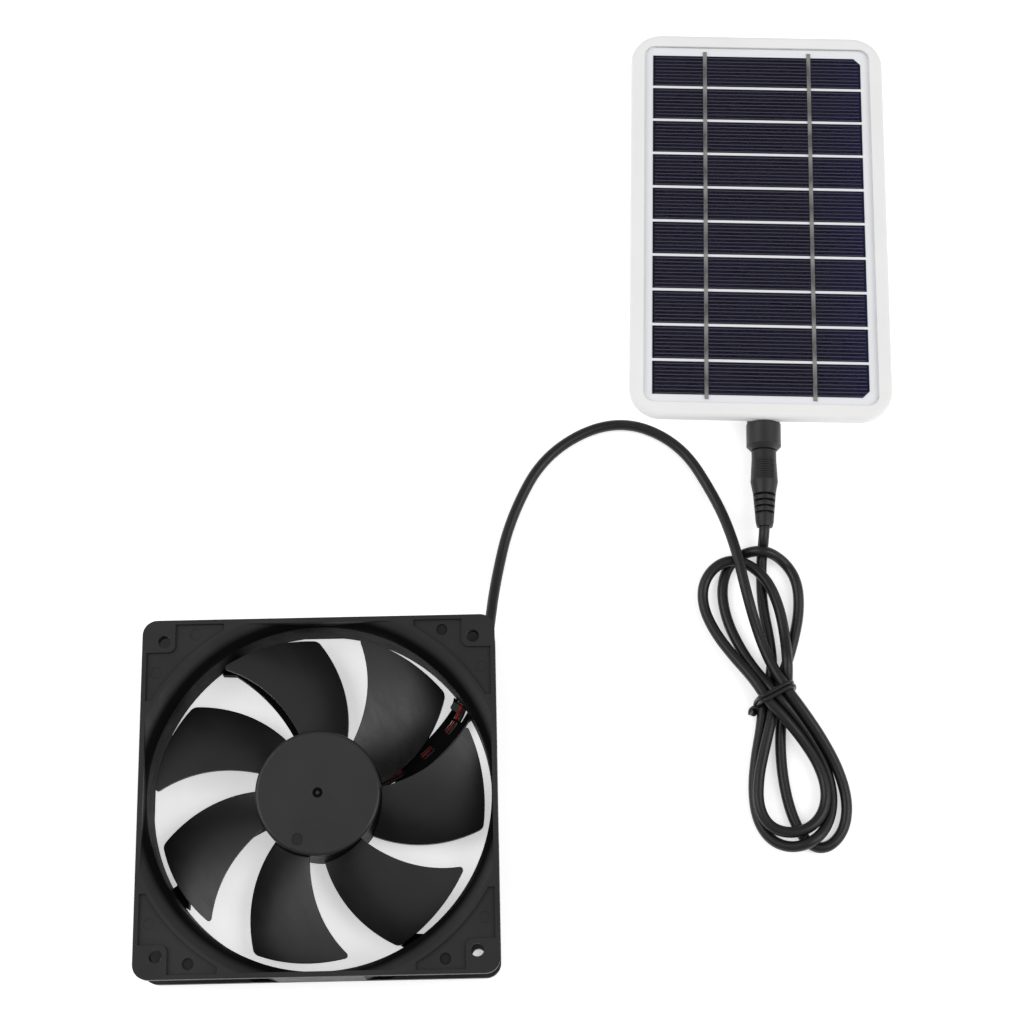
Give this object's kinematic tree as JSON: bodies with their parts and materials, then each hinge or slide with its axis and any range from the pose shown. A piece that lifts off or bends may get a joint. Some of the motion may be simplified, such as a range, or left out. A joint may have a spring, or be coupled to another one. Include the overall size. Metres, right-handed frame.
{
  "type": "solar attic fan",
  "caption": "Square axial fan with curved blades, a long cord tied in a hank, and a flat white solar panel that plugs onto the cord's end.",
  "frame": {"origin": "on the fan's axis, in its rear mounting face", "axes": "+Z out of the fan's intake side, +Y along the panel's long side"},
  "size_m": [0.27, 0.347, 0.025],
  "materials": {
    "fan_black": "fine moulded texture, satin",
    "impeller_black": "satin moulded",
    "brass": "turned",
    "bronze": "sintered, oily",
    "felt": "oiled felt",
    "pad_nylon": "smooth",
    "steel": "ground",
    "core_steel": "stamped and varnished",
    "yoke_steel": "drawn and plated",
    "magnet": "bonded ferrite, matte",
    "bobbin": "moulded",
    "copper": "enamelled wire",
    "board_green": "solder mask",
    "chip_black": "moulded epoxy",
    "capacitor": "ceramic",
    "label_silver": "plain film label",
    "wire_red": "smooth insulation",
    "wire_black": "smooth insulation",
    "clip_grey": "moulded",
    "cord_black": "satin jacket",
    "tie_black": "coated wire tie",
    "plug_black": "moulded, satin",
    "nickel": "plated",
    "insulator": "moulded",
    "panel_white": "fine moulded texture",
    "backsheet_white": "film",
    "silicon": "dark blue, printed grid",
    "tinned_ribbon": "tinned copper",
    "clear_film": "clear laminate",
    "diode_black": "moulded",
    "jack_black": "moulded"
  },
  "bodies": {
    "root": {"fan_frame": "fan_black", "bearing_tube": "brass", "thrust_pad": "pad_nylon", "sleeve_bearing": "bronze", "oil_felt": "felt", "rear_label": "label_silver", "stator_core": "core_steel", "lower_bobbin": "bobbin", "upper_bobbin": "bobbin", "driver_board": "board_green", "hall_sensor": "chip_black", "driver_chip": "chip_black", "board_capacitor": "capacitor", "lead_red": "wire_red", "lead_black": "wire_black", "wire_clip": "clip_grey", "cord_grommet": "cord_black", "fan_cord": "cord_black", "cord_hank": "cord_black", "plug_cord": "cord_black", "cable_tie": "tie_black", "plug_body": "plug_black", "plug_sleeve": "nickel", "plug_insulator": "insulator", "plug_contact": "nickel", "winding_1": "copper", "winding_2": "copper", "winding_3": "copper", "winding_4": "copper"},
    "rotor": {"impeller": "impeller_black", "rotor_yoke": "yoke_steel", "rotor_magnet": "magnet", "shaft_boss": "brass", "rotor_shaft": "steel", "shaft_clip": "steel"},
    "panel": {"panel_frame": "panel_white", "backsheet": "backsheet_white", "ribbon_left": "tinned_ribbon", "ribbon_right": "tinned_ribbon", "front_film": "clear_film", "back_case": "panel_white", "case_screws": "steel", "output_board": "board_green", "blocking_diode": "diode_black", "jack_housing": "jack_black", "jack_pin": "nickel", "jack_spring": "brass", "panel_lead_red": "wire_red", "panel_lead_black": "wire_black", "solar_cell_1": "silicon", "solar_cell_2": "silicon", "solar_cell_3": "silicon", "solar_cell_4": "silicon", "solar_cell_5": "silicon", "solar_cell_6": "silicon", "solar_cell_7": "silicon", "solar_cell_8": "silicon", "solar_cell_9": "silicon", "solar_cell_10": "silicon"}
  },
  "joints": [
    {"name": "rotor_spin", "type": "hinge", "parent": "root", "child": "rotor", "pos_m": [0, 0, 0], "axis": [0, 0, 1], "continuous": true},
    {"name": "panel_unplug", "type": "slide", "parent": "root", "child": "panel", "axis": [0.0434, 0.9991, 0], "range_m": [0, 0.012]}
  ]
}
